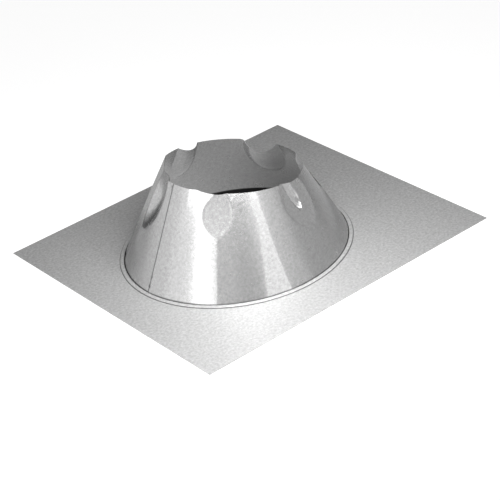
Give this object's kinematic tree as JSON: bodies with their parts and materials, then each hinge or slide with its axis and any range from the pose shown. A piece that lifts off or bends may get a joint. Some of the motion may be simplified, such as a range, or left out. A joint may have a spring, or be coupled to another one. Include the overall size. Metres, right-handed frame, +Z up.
{
  "type": "pipe flashing boot",
  "caption": "Sheet metal roof flashing: flat rectangular base sheet with a leaning, tapered cone that a flue or vent pipe passes through, centred by dents pressed into its rim.",
  "frame": {"origin": "middle of the base sheet, on its underside, where it lies on the roof", "axes": "+X along the long side of the base sheet, towards which the cone leans, +Y across it, +Z up from the roof"},
  "size_m": [0.61, 0.547, 0.1692],
  "materials": {
    "roof_sheet": "galvanised steel sheet with a fine spangle, satin",
    "cone_sheet": "galvanised steel sheet with a fine spangle, satin"
  },
  "bodies": {
    "root": {"base_plate": "roof_sheet", "cone": "cone_sheet"}
  },
  "joints": []
}
